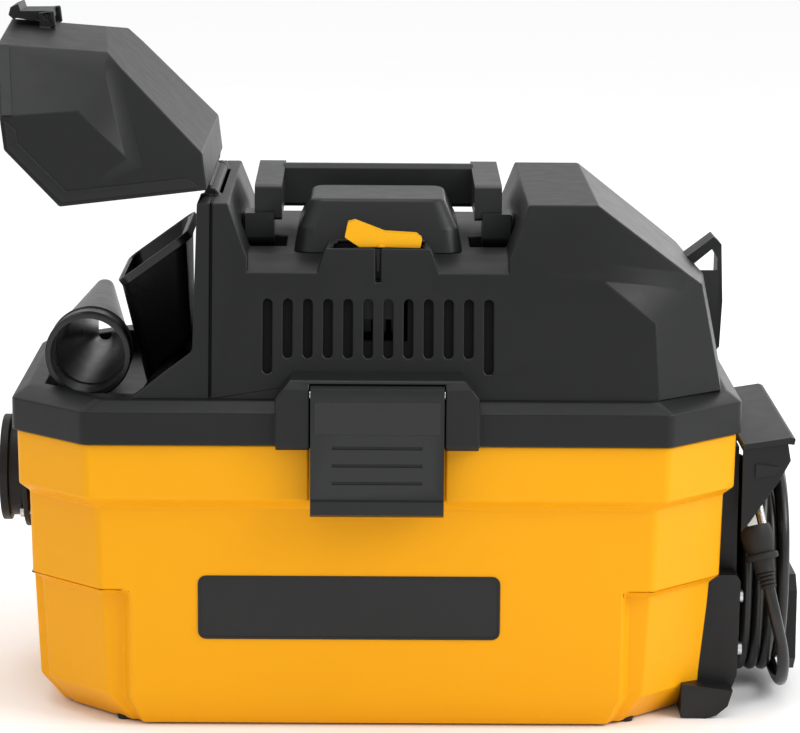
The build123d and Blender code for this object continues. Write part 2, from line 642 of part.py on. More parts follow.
def clasp_ear(side):
    ear = block(-222.5, -212, side * 20.4, side * 24, 226, 236)
    return ear - rod_y(-219.5, side * 19, side * 25, 231, 1.5 + FIT)


def lid_clasp():
    """The small hooked latch on the lid's free edge."""
    tab = [(-222.5, 233), (-217, 233), (-217.6, 222), (-220.4, 212), (-219.8, 210)]
    tab = tab + [(-223, 207.2), (-227.5, 209), (-229, 214), (-224.5, 215)]
    hook = profile_y(tab, -20, 20) + rod_y(-219.5, -23.6, 23.6, 231, 1.5)
    return lid_turn() * hook


def lid_hinge_pin():
    return rod_y(LID_X, -68, 68, LID_Z, 2.0)


# ---------- latches ----------
def latch_handle(side):
    """The large pull that hangs from its pin and snaps past the tank's rib."""
    y, z = LATCH_PIN_Y, LATCH_PIN_Z
    out, back = y + 5.5, y - 5.0
    plate = [(y, z + 5.5), (out - 1, z + 4), (out, z), (out, 150), (out + 2, 149), (out + 2, 141)]
    plate = plate + [(out - 2, 139), (back - 0.5, 139), (back - 0.5, 148), (out - 4, 151)]
    plate = plate + [(out - 4, 200), (back, 205), (back, z + 3)]
    body = profile_x([(side * py, pz) for py, pz in plate], -LATCH_HALF, LATCH_HALF)
    for k in range(3):
        zg = 181.5 - 10.7 * k
        body = body - block(-27, 27, side * (out - 1), side * (out + 1), zg - 1, zg + 1)
    for x in (-1, 1):
        body = body + block(x * 37.5, x * LATCH_HALF, side * (back + 0.2), side * (out - 2), 145, 205)
    tooth = [(back - 0.5, 152), (back - 3.4, 153.5), (back - 3.4, 155), (back - 0.5, 159)]
    tooth = tooth + [(out - 3, 160), (out - 3, 148)]
    body = body + profile_x([(side * py, pz) for py, pz in tooth], -26, 26)
    return body - rod_x(-50, 50, side * y, z, LATCH_PIN_R + FIT)


def latch_pins():
    pins = [rod_x(-51, 51, side * LATCH_PIN_Y, LATCH_PIN_Z, LATCH_PIN_R) for side in (-1, 1)]
    return Compound(children=pins)


# ---------- fan and filter ----------
def fan_housing():
    case = post(0, 0, FAN_LOW, DECK - DECK_THICK, FAN_R) - post(0, 0, FAN_LOW + 3, 199, FAN_R - 3)
    case = case - post(0, 0, 160, 172, 22) - post(0, 0, 196, 210, 34)
    return case + (post(0, 0, 196, 203, 34) - post(0, 0, 190, 203.1, 11))


def bearing(z0, z1):
    return post(0, 0, z0, z1, 11) - post(0, 0, z0 - 1, z1 + 1, SHAFT_R + FIT)


def motor_housing():
    can = post(0, 0, DECK - DECK_THICK, 284, MOTOR_R) - post(0, 0, 200, 281, MOTOR_R - 2.5)
    can = can + (post(0, 0, 270, 281, 14) - post(0, 0, 269, 279, 11))
    for k in range(12):
        angle = 30 * k
        can = can - Rot(0, 0, angle) * block(40, 60, -4, 4, 208, 218)
    return can


def stator():
    ring = post(0, 0, 222, 258, 46) - post(0, 0, 221, 259, 28)
    return ring - block(-20, 20, -60, -40, 221, 259) - block(-20, 20, 40, 60, 221, 259)


def motor_shaft():
    return post(0, 0, 171, 278, SHAFT_R)


def armature():
    core = post(0, 0, 223, 257, 26.5)
    for k in range(12):
        core = core - Rot(0, 0, 30 * k) * block(20, 30, -1.5, 1.5, 222, 258)
    return core + post(0, 0, 259, 267, 13) + post(0, 0, 257, 259, 10) - post(0, 0, 220, 270, SHAFT_R)


def impeller():
    """Two discs with curved-back blades between them, open at the middle of the lower one."""
    wheel = post(0, 0, 191, 192.5, IMPELLER_R) + post(0, 0, 176, 177.5, IMPELLER_R)
    for k in range(8):
        blade = Rot(0, 0, 45 * k) * Pos(40, 0, 184.3) * Rot(0, 0, 35) * Box(44, 1.6, 14.4)
        wheel = wheel + blade
    wheel = wheel & post(0, 0, 170, 195, IMPELLER_R)
    wheel = wheel - post(0, 0, 174, 178, 20) + post(0, 0, 176, 194, 9)
    return wheel - post(0, 0, 170, 200, SHAFT_R)


def filter_cage():
    """The slotted cage under the fan that the filter slides over and the float ball rises in."""
    cage = post(0, 0, CAGE_LOW, FAN_LOW, CAGE_R) - post(0, 0, CAGE_LOW + 3, FAN_LOW - 3, CAGE_R - 3)
    cage = cage - post(0, 0, 150, 170, 18)
    for k in range(8):
        cage = cage - Rot(0, 0, 45 * k) * block(40, 60, -14, 14, 74, 150)
    stem = post(0, 0, 40, CAGE_LOW, 5)
    return cage + stem


def float_ball():
    return Pos(0, 0, BALL_Z) * Sphere(BALL_R)


def cartridge_filter():
    ring = post(0, 0, 64, FAN_LOW - 0.5, FAN_R) - post(0, 0, 60, 170, CAGE_R + 0.5)
    return ring


def filter_retainer():
    """The cap that holds the filter up, with a finger grip."""
    plate = post(0, 0, 56, 60, FAN_R) + post(0, 0, 60, 64, FAN_R) - post(0, 0, 60, 64.1, CAGE_R + 0.5)
    grip = block(-30, 30, -4, 4, 40, 56)
    return fillet(plate.edges().filter_by(GeomType.CIRCLE).sort_by(Axis.Z)[0], 2) + grip - post(0, 0, 39, 61, 5)


# ---------- accessories ----------
def crevice_tool():
    """A round collar that narrows to an upright flat slot, lying in the bin with its collar to the front."""
    collar = rod_y(TOOL_X, -88, -59, TOOL_Z, 25.5) - rod_y(TOOL_X, -89, -58, TOOL_Z, 23)
    root = Plane(origin=(TOOL_X, -60, TOOL_Z), x_dir=(1, 0, 0), z_dir=(0, 1, 0))
    tip = Plane(origin=(TOOL_X - 3.5, 95, 222), x_dir=(1, 0, 0), z_dir=(0, 1, 0))
    shell = loft([root * RectangleRounded(49, 49, 24.3), tip * RectangleRounded(13, 43, 6)])
    bore = loft([root * RectangleRounded(44.6, 44.6, 22.1), tip * RectangleRounded(8.6, 38.6, 4)])
    return collar + (shell - bore)


def utility_nozzle():
    """A wide pick-up nozzle with its mouth up, narrowing to a round neck in the bin."""
    tilt = (-sin(radians(36)), 0, cos(radians(36)))
    mouth = Plane(origin=(-139, -20, 283), x_dir=(0, 1, 0), z_dir=tilt)
    neck = Plane(origin=(-130.2, -20, 192), x_dir=(0, 1, 0), z_dir=(0, 0, 1))
    mouth_in = Plane(origin=(-139.6, -20, 283.8), x_dir=(0, 1, 0), z_dir=tilt)
    neck_in = Plane(origin=(-130.2, -20, 191), x_dir=(0, 1, 0), z_dir=(0, 0, 1))
    form = loft([mouth * RectangleRounded(100, 50, 8), neck * RectangleRounded(34, 29, 12)])
    return form - loft([mouth_in * RectangleRounded(95, 45, 6), neck_in * RectangleRounded(29, 24, 10)])


def exhaust_foam():
    """Two foam sheets behind the vent slots, front and back, leaning as the walls do."""
    gap, thick, low, high = SHELL + 0.4, 5.0, 213, 270
    outline = [(front_y(low) + gap, low), (front_y(high) + gap, high)]
    outline = outline + [(front_y(high) + gap + thick, high), (front_y(low) + gap + thick, low)]
    sheet = profile_x(outline, -74, 74) - block(ROCKER_X - 16, ROCKER_X + 16, -130, -90, 240, 280)
    return Compound(children=[sheet, mirror_y(sheet)])


def cover_screws():
    screws = []
    for x, y in SCREW_SPOTS:
        screws.append(post(x, y, 199.8, 216, 2) + post(x, y, 197, 200, 4))
    return Compound(children=screws)


# ---------- write ----------
def build():
    save(tank_shell(), "tank_shell")
    save(tank_feet(), "tank_feet")
    save(inlet_port(), "inlet_port")
    save(inlet_deflector(), "inlet_deflector")
    save(port_screws(), "port_screws")
    save(cord_bracket(), "cord_bracket")
    save(cord_guard(), "cord_guard")
    save(bracket_screws(), "bracket_screws")
    save(cord_coil(), "cord_coil")
    save(tube(LEAD, CORD_R, "cord_lead"), "cord_lead")
    save(tube(TAIL, CORD_R, "cord_tail"), "cord_tail")
    save(head_base(), "head_base")
    save(strain_relief(), "strain_relief")
    save(rim_gasket(), "rim_gasket")
    save(motor_cover(), "motor_cover")
    save(centre_cover(), "centre_cover")
    save(switch_body(), "switch_body")
    save(switch_rocker(), "switch_rocker")
    save(carry_handle(), "carry_handle")
    save(hose_hook(), "hose_hook")
    save(accessory_lid(), "accessory_lid")
    save(lid_clasp(), "lid_clasp")
    save(lid_hinge_pin(), "lid_hinge_pin")
    save(latch_handle(-1), "front_latch")
    save(latch_handle(1), "rear_latch")
    save(latch_pins(), "latch_pins")
    save(fan_housing(), "fan_housing")
    save(motor_housing(), "motor_housing")
    save(stator(), "stator")
    save(bearing(196, 203), "lower_bearing")
    save(bearing(272, 279), "upper_bearing")
    save(motor_shaft(), "motor_shaft")
    save(armature(), "armature")
    save(impeller(), "impeller")
    save(filter_cage(), "filter_cage")
    save(float_ball(), "float_ball")
    save(cartridge_filter(), "cartridge_filter")
    save(filter_retainer(), "filter_retainer")
    save(crevice_tool(), "crevice_tool")
    save(utility_nozzle(), "utility_nozzle")
    save(exhaust_foam(), "exhaust_foam")
    save(cover_screws(), "cover_screws")
    save(plug_body(), "plug_body")
    save(plug_blades(), "plug_blades")


build()
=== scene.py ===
import json
import math
import random

import bmesh
import bpy
from mathutils import Matrix, Vector


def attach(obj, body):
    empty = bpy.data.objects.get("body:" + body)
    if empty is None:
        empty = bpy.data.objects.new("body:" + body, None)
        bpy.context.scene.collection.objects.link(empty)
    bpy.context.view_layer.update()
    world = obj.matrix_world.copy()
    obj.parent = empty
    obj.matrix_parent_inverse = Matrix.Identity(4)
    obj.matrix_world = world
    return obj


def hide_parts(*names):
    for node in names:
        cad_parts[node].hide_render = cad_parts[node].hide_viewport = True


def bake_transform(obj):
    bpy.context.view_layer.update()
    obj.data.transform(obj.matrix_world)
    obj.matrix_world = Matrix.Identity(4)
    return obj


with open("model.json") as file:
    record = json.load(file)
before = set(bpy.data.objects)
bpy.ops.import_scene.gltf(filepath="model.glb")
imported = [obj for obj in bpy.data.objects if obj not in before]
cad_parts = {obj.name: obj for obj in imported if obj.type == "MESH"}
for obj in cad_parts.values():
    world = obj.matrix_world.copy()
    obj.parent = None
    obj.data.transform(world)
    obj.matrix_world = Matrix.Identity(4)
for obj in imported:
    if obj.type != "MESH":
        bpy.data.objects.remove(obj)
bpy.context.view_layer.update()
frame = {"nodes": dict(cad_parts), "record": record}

MM = 0.001
NODES = frame["nodes"]


# ---------- camera and light ----------
CAMERA_PLACE = (-0.004, -2.145, 0.5916)
CAMERA_TURNS = (-0.4973, -10.274, 0.42)  # yaw, pitch and roll in degrees, from level along +Y
LENS, SENSOR = 153.0, 36.0               # in millimetres
SKY_LOW, SKY_HIGH = 0.56, 1.28           # the dome's strength at the horizon and overhead
FLOOR_REACH = 14.0


def camera():
    """From the front, looking down by about ten degrees, through a long lens."""
    yaw, pitch, roll = (math.radians(angle) for angle in CAMERA_TURNS)
    cam = bpy.data.objects.new("camera", bpy.data.cameras.new("camera"))
    bpy.context.scene.collection.objects.link(cam)
    cam.data.lens = LENS
    cam.data.sensor_width = SENSOR
    cam.data.clip_end = 50.0
    turn = Matrix.Rotation(yaw, 4, "Z") @ Matrix.Rotation(math.radians(90) + pitch, 4, "X")
    turn = turn @ Matrix.Rotation(roll, 4, "Z")
    cam.matrix_world = Matrix.Translation(CAMERA_PLACE) @ turn
    bpy.context.scene.camera = cam


def area_light(name, place, aim, width, height, watts):
    """A rectangular lamp at a place, turned towards another."""
    data = bpy.data.lights.new(name, "AREA")
    data.shape = "RECTANGLE"
    data.size, data.size_y = width, height
    data.energy = watts
    lamp = bpy.data.objects.new(name, data)
    bpy.context.scene.collection.objects.link(lamp)
    lamp.location = place
    lamp.rotation_euler = (Vector(aim) - Vector(place)).to_track_quat("-Z", "Y").to_euler()


def sky(tree):
    """A white dome that is brighter overhead than at the horizon."""
    place = tree.nodes.new("ShaderNodeTexCoord")
    parts = tree.nodes.new("ShaderNodeSeparateXYZ")
    height = tree.nodes.new("ShaderNodeMapRange")
    height.inputs["To Min"].default_value = SKY_LOW
    height.inputs["To Max"].default_value = SKY_HIGH
    tree.links.new(place.outputs["Generated"], parts.inputs["Vector"])
    tree.links.new(parts.outputs["Z"], height.inputs["Value"])
    tree.links.new(height.outputs["Result"], tree.nodes["Background"].inputs["Strength"])


def studio():
    """A pale floor under the dome, with lamps at the right front, above and behind."""
    bpy.context.scene.view_settings.view_transform = "Standard"
    world = bpy.data.worlds.new("studio")
    world.use_nodes = True
    world.node_tree.nodes["Background"].inputs[0].default_value = (1, 1, 1, 1)
    sky(world.node_tree)
    bpy.context.scene.world = world
    mesh = bpy.data.meshes.new("floor")
    corners = [(x * FLOOR_REACH, y * FLOOR_REACH, 0) for x, y in ((-1, -1), (1, -1), (1, 1), (-1, 1))]
    mesh.from_pydata(corners, [], [(0, 1, 2, 3)])
    floor = bpy.data.objects.new("floor", mesh)
    bpy.context.scene.collection.objects.link(floor)
    paint = material("floor_paint", (0.93, 0.93, 0.93), 0.7, grain=400, bump=0.02, vary=0.01, spec=0.2)
    floor.data.materials.append(paint)
    area_light("key", (2.0, -0.9, 1.6), (0, 0, 0.25), 1.5, 1.3, 34)
    area_light("top", (-0.3, -0.2, 2.6), (0, 0, 0.3), 1.5, 1.1, 12)
    area_light("rim", (1.7, 2.3, 0.9), (0, 0, 0.3), 2.0, 0.8, 14)


# ---------- materials ----------
BLOTCH = 14.0                # the scale of the slow changes in tone
GLOSS_SPREAD = 0.07          # how far the roughness goes to each side of its middle
RELIEF = 0.0004              # the depth of the fine grain, in metres
HIGHLIGHT_FROM, HIGHLIGHT_TO = 0.52, 0.62  # how sharp an edge is where its painted highlight starts and where it is full


def material(name, colour, rough, grain=900.0, bump=0.08, vary=0.06, edge=0.0, metal=0.0, spec=0.5):
    """Moulded plastic, rubber, paper or metal, with slow changes in gloss and tone.

    grain and bump are the scale and strength of the fine relief, vary is how far the tone drifts, and
    edge is how much lighter the painted highlight makes sharp edges."""
    mat = bpy.data.materials.new(name)
    mat.use_nodes = True
    tree = mat.node_tree
    shader = tree.nodes["Principled BSDF"]
    shader.inputs["Metallic"].default_value = metal
    shader.inputs["Specular IOR Level"].default_value = spec
    place = tree.nodes.new("ShaderNodeTexCoord")
    slow = noise(tree, place, BLOTCH, 4.0)
    tone = tree.nodes.new("ShaderNodeMix")
    tone.data_type = "RGBA"
    tone.inputs["A"].default_value = (*[c * (1 - vary) for c in colour], 1)
    tone.inputs["B"].default_value = (*[min(1, c * (1 + vary)) for c in colour], 1)
    tree.links.new(slow.outputs["Fac"], tone.inputs["Factor"])
    result = tone.outputs["Result"]
    # sharp outward edges get a painted highlight, a lighter base colour by Pointiness
    if edge > 0:
        result = painted_edge_highlight(tree, result, colour, edge)
    tree.links.new(result, shader.inputs["Base Color"])
    gloss = tree.nodes.new("ShaderNodeMapRange")
    gloss.inputs["To Min"].default_value = rough - GLOSS_SPREAD
    gloss.inputs["To Max"].default_value = rough + GLOSS_SPREAD
    mid = noise(tree, place, BLOTCH * 6, 3.0)
    tree.links.new(mid.outputs["Fac"], gloss.inputs["Value"])
    tree.links.new(gloss.outputs["Result"], shader.inputs["Roughness"])
    fine = noise(tree, place, grain, 2.0)
    relief = tree.nodes.new("ShaderNodeBump")
    relief.inputs["Strength"].default_value = bump
    relief.inputs["Distance"].default_value = RELIEF
    tree.links.new(fine.outputs["Fac"], relief.inputs["Height"])
    tree.links.new(relief.outputs["Normal"], shader.inputs["Normal"])
    return mat


def noise(tree, place, scale, detail):
    """A noise texture in the object's own space."""
    node = tree.nodes.new("ShaderNodeTexNoise")
    node.inputs["Scale"].default_value = scale
    node.inputs["Detail"].default_value = detail
    tree.links.new(place.outputs["Object"], node.inputs["Vector"])
    return node


def painted_edge_highlight(tree, source, colour, amount):
    """A painted highlight: a lighter tone where the surface turns sharply outwards."""
    geometry = tree.nodes.new("ShaderNodeNewGeometry")
    ramp = tree.nodes.new("ShaderNodeMapRange")
    ramp.inputs["From Min"].default_value = HIGHLIGHT_FROM
    ramp.inputs["From Max"].default_value = HIGHLIGHT_TO
    ramp.inputs["To Max"].default_value = amount
    tree.links.new(geometry.outputs["Pointiness"], ramp.inputs["Value"])
    mix = tree.nodes.new("ShaderNodeMix")
    mix.data_type = "RGBA"
    # the painted highlight's colour, lighter than the plastic
    highlit = [min(1, c * 1.8 + 0.02) for c in colour]
    mix.inputs["B"].default_value = (*highlit, 1)
    tree.links.new(ramp.outputs["Result"], mix.inputs["Factor"])
    tree.links.new(source, mix.inputs["A"])
    return mix.outputs["Result"]


# ---------- cord: sizes and places in millimetres, as in the part's own source ----------
CORD_R = 3.8
CORD_SIDES = 14
COIL_Z, COIL_HALF = 76.0, 8.0    # the middle of the oval turns, and half the length of their straight sides
COIL_X0, COIL_OUT = 230.5, 62.0  # the turns' side towards the tank, and the radius outside the last layer
LEAD = [(209, 130, 160), (209, 130, 133), (217, 111, 104), (232, 84, 86), (234.5, 66, 60), (234.5, 50, 37)]
TAIL = [(257, -5, 9.8), (257.5, -32, 8.3), (257.5, -61, 12), (256, -83, 34), (249, -88, 62), (243, -80.5, 88)]
LAYERS, COLUMNS = 4, 4
PER_TURN = 20        # points on each turn
STEP_TURN = 0.30     # the share of a turn over which the cord moves to the next place
STEP_LAG = 0.033     # each turn moves a little sooner than the one before it
LOOSE, SWAY = 2.0, 0.8  # how far the outer turns stand off and wander sideways
SIDES_GAIN = 2.5     # how quickly a turn passes from its upper half to its lower one


def cells():
    """The places in the winding's section, as (layer from outside, column from the tank), side by side."""
    order = []
    for column in range(COLUMNS):
        layers = range(LAYERS) if column % 2 == 0 else reversed(range(LAYERS))
        order += [(layer, column) for layer in layers]
    return order


def winding():
    """The turns from the lead's end to the tail's start, as points in millimetres."""
    draw = random.Random(7)
    places = cells()
    loose = [(draw.uniform(0.2, 1), draw.uniform(-1, 1), draw.uniform(0, 6.28)) for _ in places]
    low = COIL_Z - COIL_HALF
    start = math.atan2(LEAD[-1][2] - low, LEAD[-1][1])
    end = math.atan2(TAIL[0][2] - low, TAIL[0][1])
    first = (start - end) / (2 * math.pi)
    turns = len(places) - 1 + first
    steps = round(turns * PER_TURN)
    return [turn_point(turns * k / steps, start, first, places, loose) for k in range(1, steps)]


def turn_point(t, start, first, places, loose):
    """The cord's place t turns after the lead's end. Only the outermost turns stand off and wander."""
    angle = start - 2 * math.pi * t
    lap = int(t - first + 1) if t > first else 0
    layer, column = cell_at(t, first, lap, places)
    swell, sway, shift = loose[lap]
    free = max(0.0, 1 - layer) * math.sin(math.pi * (t - first - lap)) ** 2 if lap > 0 else 0.0
    radius = COIL_OUT - CORD_R - 2 * CORD_R * layer
    radius = radius / math.cos(math.pi / PER_TURN) + free * swell * LOOSE
    x = COIL_X0 + CORD_R + 2 * CORD_R * column + free * sway * SWAY * math.sin(angle + shift)
    y = radius * math.cos(angle)
    straight = COIL_HALF * max(-1, min(1, SIDES_GAIN * math.sin(angle)))
    return (x, y, COIL_Z + radius * math.sin(angle) + straight)


def cell_at(t, first, lap, places):
    """The layer and column t turns after the lead's end, going smoothly from each lap's cell to the next."""
    begin = first + lap - 1 + STEP_LAG * (len(places) - 1 - lap)
    share = (t - begin) / STEP_TURN if lap > 0 else 1.0
    share = min(1.0, max(0.0, share))
    share = share * share * (3 - 2 * share)
    here, after = places[max(0, lap - 1)], places[lap]
    return here[0] + (after[0] - here[0]) * share, here[1] + (after[1] - here[1]) * share


def route_curve(name, points):
    """A smooth curve that the points steer. It passes through the first and the last."""
    curve = bpy.data.curves.new(name, "CURVE")
    curve.dimensions = "3D"
    spline = curve.splines.new("NURBS")
    spline.points.add(len(points) - 1)
    for point, place in zip(spline.points, points):
        point.co = (*[c * MM for c in place], 1)
    spline.order_u = 3
    spline.use_endpoint_u = True
    spline.resolution_u = 6
    curve.resolution_u = 6
    made = bpy.data.objects.new(name, curve)
    bpy.context.scene.collection.objects.link(made)
    return made


def line_of(curve):
    """The points along a curve that has no bevel."""
    bpy.context.view_layer.update()
    mesh = bpy.data.meshes.new_from_object(curve.evaluated_get(bpy.context.evaluated_depsgraph_get()))
    return [v.co.copy() for v in mesh.vertices]


def tube_mesh(name, line, radius):
    """A round tube along a line, with its ends closed, carried without twisting."""
    sides = CORD_SIDES
    verts, faces = [], []
    ahead = (line[1] - line[0]).normalized()
    side = ahead.orthogonal().normalized()
    for i, here in enumerate(line):
        before, after = line[max(0, i - 1)], line[min(len(line) - 1, i + 1)]
        ahead = (after - before).normalized()
        side = (side - ahead * side.dot(ahead)).normalized()
        up = ahead.cross(side)
        for k in range(sides):
            angle = 2 * math.pi * k / sides
            verts.append(here + radius * (side * math.cos(angle) + up * math.sin(angle)))
    for i in range(len(line) - 1):
        for k in range(sides):
            a, b = i * sides + k, i * sides + (k + 1) % sides
            faces.append((a, b, b + sides, a + sides))
    faces.append(tuple(reversed(range(sides))))
    faces.append(tuple(range(len(verts) - sides, len(verts))))
    mesh = bpy.data.meshes.new(name)
    mesh.from_pydata(verts, [], faces)
    mesh.polygons.foreach_set("use_smooth", [True] * len(faces))
    made = bpy.data.objects.new(name, mesh)
    bpy.context.scene.collection.objects.link(made)
    return made


def make_cord(ribs):
    """The whole cord as one tube."""
    route = route_curve("cord_route", LEAD + winding() + TAIL)
    line = line_of(route)
    bpy.data.objects.remove(route)
    cord = tube_mesh("mains_cord", line, CORD_R * MM)
    paint = material("cord_rubber", (0.009, 0.0085, 0.008), 0.30, grain=700, bump=0.05, vary=0.12, spec=0.45)
    cord.data.materials.append(paint)
    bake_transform(cord)
    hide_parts("cord_lead", "cord_coil", "cord_tail")


# ---------- added pieces: sizes and places in millimetres ----------
CORNER_STEPS = 5  # the steps round each corner of a rounded rectangle


def piece(name, verts, faces, body, paint, bevel=0.0):
    """A mesh in millimetres that rides on a body, with its sharp edges rounded by bevel."""
    mesh = bpy.data.meshes.new(name)
    mesh.from_pydata([[c * MM for c in v] for v in verts], [], faces)
    work = bmesh.new()
    work.from_mesh(mesh)
    bmesh.ops.recalc_face_normals(work, faces=work.faces)
    work.to_mesh(mesh)
    work.free()
    made = bpy.data.objects.new(name, mesh)
    bpy.context.scene.collection.objects.link(made)
    made.data.materials.append(paint)
    if bevel > 0:
        round_edges(made, bevel)
    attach(made, body)
    return made


def round_edges(obj, width, segments=2, clamp=True):
    """Rounds the edges that turn by more than 30 degrees, and keeps the flat faces flat in shading."""
    bevel = obj.modifiers.new("round", "BEVEL")
    bevel.width = width * MM
    bevel.segments = segments
    bevel.limit_method = "ANGLE"
    bevel.angle_limit = math.radians(30)
    bevel.use_clamp_overlap = clamp
    bevel.harden_normals = True
    obj.data.polygons.foreach_set("use_smooth", [True] * len(obj.data.polygons))
    obj.modifiers.new("normals", "WEIGHTED_NORMAL").keep_sharp = True


def rounded(half_w, half_h, r):
    """A rounded rectangle about (0, 0), counter-clockwise."""
    points = []
    for k, (sx, sy) in enumerate([(1, 1), (-1, 1), (-1, -1), (1, -1)]):
        for i in range(CORNER_STEPS + 1):
            angle = math.pi / 2 * (k + i / CORNER_STEPS)
            u = sx * (half_w - r) + r * math.cos(angle)
            v = sy * (half_h - r) + r * math.sin(angle)
            points.append((u, v))
    return points


def prism(outline, low, high, place):
    """A closed solid from a flat outline: place(u, v, w) puts it in space, from w = low to w = high."""
    n = len(outline)
    verts = [place(u, v, low) for u, v in outline] + [place(u, v, high) for u, v in outline]
    faces = [tuple(range(n)), tuple(range(2 * n - 1, n - 1, -1))]
    return verts, faces + [(k, (k + 1) % n, n + (k + 1) % n, n + k) for k in range(n)]


def frame_ring(outer, inner, low, high, place):
    """A closed ring between two outlines with the same number of points."""
    n = len(outer)
    verts = [place(u, v, w) for w in (low, high) for line in (outer, inner) for u, v in line]
    faces = []
    for k in range(n):
        j = (k + 1) % n
        faces += [(k, j, n + j, n + k), (2 * n + k, 3 * n + k, 3 * n + j, 2 * n + j)]
        faces += [(k, 2 * n + k, 2 * n + j, j), (n + k, n + j, 3 * n + j, 3 * n + k)]
    return verts, faces


def shrink(outline, by):
    """The outline moved inwards by a width, corner by corner. It runs clockwise or counter-clockwise."""
    n = len(outline)
    sides = zip(outline, outline[1:] + outline[:1])
    area = sum(a[0] * b[1] - b[0] * a[1] for a, b in sides)
    turn = 1 if area > 0 else -1
    result = []
    for k in range(n):
        before, here, after = Vector(outline[k - 1]), Vector(outline[k]), Vector(outline[(k + 1) % n])
        a, b = (here - before).normalized(), (after - here).normalized()
        na, nb = Vector((-a.y, a.x)) * turn, Vector((-b.y, b.x)) * turn
        mid = (na + nb).normalized()
        result.append(tuple(here + mid * by / max(0.3, mid.dot(na))))
    return result


def ring(name, centre, axis, radius, thick, body, paint, around=48, across=10):
    """A round bead about an axis."""
    axis = Vector(axis).normalized()
    side = axis.orthogonal().normalized()
    up = axis.cross(side)
    verts, faces = [], []
    for k in range(around):
        a = 2 * math.pi * k / around
        out = side * math.cos(a) + up * math.sin(a)
        for i in range(across):
            b = 2 * math.pi * i / across
            verts.append(Vector(centre) + out * (radius + thick * math.cos(b)) + axis * thick * math.sin(b))
    for k in range(around):
        for i in range(across):
            a, b = k * across + i, k * across + (i + 1) % across
            c, d = ((k + 1) % around) * across + (i + 1) % across, ((k + 1) % around) * across + i
            faces.append((a, b, c, d))
    made = piece(name, verts, faces, body, paint)
    made.data.polygons.foreach_set("use_smooth", [True] * len(faces))
    return made


# The tank's lower front wall leans out from one height to another.
FRONT_LOW, FRONT_HIGH = 20, 86
FRONT_Y, FRONT_LEAN = 130.9, 3.3 / 64  # how far forward it is at its foot, and its slope
LABEL_X, LABEL_Z = -16.5, 77.5


def label_plate(paint):
    """A blank label in a thin raised border, on the tank's front."""
    def place(u, v, w):
        z = LABEL_Z + v
        lean = FRONT_LEAN * min(z - FRONT_LOW, FRONT_HIGH - FRONT_LOW)
        return (LABEL_X + u, -(FRONT_Y + lean + w), z)
    outline = rounded(92, 20, 5)
    verts, faces = prism(outline, -0.8, 0.5, place)
    piece("label_plate", verts, faces, "tank", paint, 0.2)
    verts, faces = frame_ring(outline, shrink(outline, 1.6), -0.8, 0.95, place)
    piece("label_border", verts, faces, "tank", paint, 0.2)


LATCH_FACE_Y, LATCH_PANEL_Z = 157.5, 199.5


def latch_panel(side, body, paint):
    """The smooth panel across the top of a latch handle."""
    def place(u, v, w):
        return (u, side * (LATCH_FACE_Y + w), LATCH_PANEL_Z + v)
    verts, faces = prism(rounded(37.6, 9.8, 1.2), -0.5, 0.35, place)
    name = "front_latch_panel" if side < 0 else "rear_latch_panel"
    piece(name, verts, faces, body, paint, 0.15)


# The side face of the shut lid, in (x, z), the hinge that opens it, and the lip along its edges.
LID_SIDE = [(-112.5, 318.0), (-131.0, 318.0), (-127.5, 283.5), (-166.0, 252.5),
            (-168.5, 208.5), (-151.5, 208.5), (-115.0, 236.0)]
LID_X, LID_Z, LID_OPEN = -102.5, 322.0, math.radians(83.0)
LID_FOOT_Y, LID_FOOT_Z = 131.0, 206.0
LID_LEAN = 22.0, 116.0  # how far the side leans in, over how much height
LIP_WIDE, LIP_PROUD, LIP_SUNK = 6.5, 1.1, 0.6


def opened(x, z):
    """Turns a point of the shut lid about the hinge, to where it is on the open one."""
    dx, dz = x - LID_X, z - LID_Z
    turned_x = LID_X + dx * math.cos(LID_OPEN) + dz * math.sin(LID_OPEN)
    turned_z = LID_Z - dx * math.sin(LID_OPEN) + dz * math.cos(LID_OPEN)
    return turned_x, turned_z


def lid_place(side):
    """Puts a point of the shut lid's side face, and a height w above it, on the open lid."""
    def place(u, v, w):
        y = side * (LID_FOOT_Y - LID_LEAN[0] * (v - LID_FOOT_Z) / LID_LEAN[1] + w)
        x, z = opened(u, v)
        return (x, y, z)
    return place


def lid_trim(paint):
    """A raised lip along the lid's edges: one piece on each side face and one on each corner facet."""
    inner = shrink(LID_SIDE, LIP_WIDE)
    side_band = LID_SIDE[4:] + LID_SIDE[:1] + inner[:1] + list(reversed(inner[4:]))
    corner_band = [(0.5, 1.0), (53.0, 1.0), (53.0, LIP_WIDE + 1), (0.5, LIP_WIDE + 1)]
    for side, tag in ((-1, "front"), (1, "back")):
        verts, faces = prism(side_band, -LIP_SUNK, LIP_PROUD, lid_place(side))
        piece("lid_lip_" + tag, verts, faces, "lid", paint, 0.35)
        verts, faces = prism(corner_band, -LIP_SUNK, LIP_PROUD, corner_place(side))
        piece("lid_corner_lip_" + tag, verts, faces, "lid", paint, 0.35)


def corner_place(side):
    """Puts a point of the shut lid's corner facet on the open lid: u along its foot, v up it, w out of it."""
    foot = Vector((-170.6, -130.9, 206.5))
    far = Vector((-211.5, -95.0, 206.5))
    high = Vector((-167.9, -122.3, 251.9))
    along = (far - foot).normalized()
    out = along.cross(high - foot).normalized()
    out = out if out.y < 0 else -out
    up = out.cross(along)
    up = up if up.z > 0 else -up

    def place(u, v, w):
        point = foot + along * u + up * v + out * w
        x, z = opened(point.x, point.z)
        return (x, -side * point.y, z)
    return place


NOZZLE_MOUTH, NOZZLE_TILT = (-139, -20, 283), 36
TOOL_X, TOOL_Z = -178, 224.5


